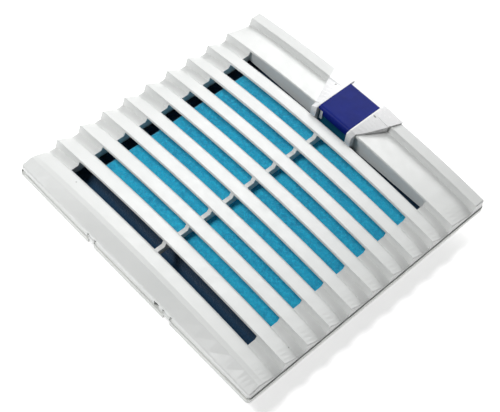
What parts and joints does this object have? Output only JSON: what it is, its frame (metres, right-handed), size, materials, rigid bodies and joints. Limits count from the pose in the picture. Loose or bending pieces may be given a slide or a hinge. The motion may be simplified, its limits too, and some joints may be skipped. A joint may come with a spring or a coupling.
{
  "type": "fan filter housing",
  "caption": "Square louvred filter housing for an enclosure wall, with a swing-down cover, fibre mat, guard grid and gasket.",
  "frame": {"origin": "centre of the housing's outline at the level of the spigot's back edge", "axes": "+Z out of the louvred face, +X along the louvres, +Y from the hinged edge to the latch"},
  "size_m": [0.255, 0.255, 0.0417],
  "materials": {
    "housing": "fine-grained light grey moulding",
    "cover": "fine-grained light grey moulding, soft sheen",
    "latch": "smooth white moulding",
    "badge": "glossy blue",
    "mat": "loose cyan-blue fibre",
    "gasket": "closed-cell foam",
    "clip": "dark grey moulding"
  },
  "bodies": {
    "housing": {"base_frame": "housing", "rear_guard": "housing", "filter_mat": "mat", "gasket": "gasket", "panel_clip_left": "clip", "panel_clip_right": "clip", "panel_clip_low": "clip", "panel_clip_high": "clip"},
    "cover": {"louvre_cover": "cover", "latch_surround": "latch", "badge_plate": "badge"}
  },
  "joints": [
    {"name": "cover_hinge", "type": "hinge", "parent": "housing", "child": "cover", "pos_m": [0, -0.1256, 0.0221], "axis": [1, 0, 0], "range_deg": [0, 90]}
  ]
}
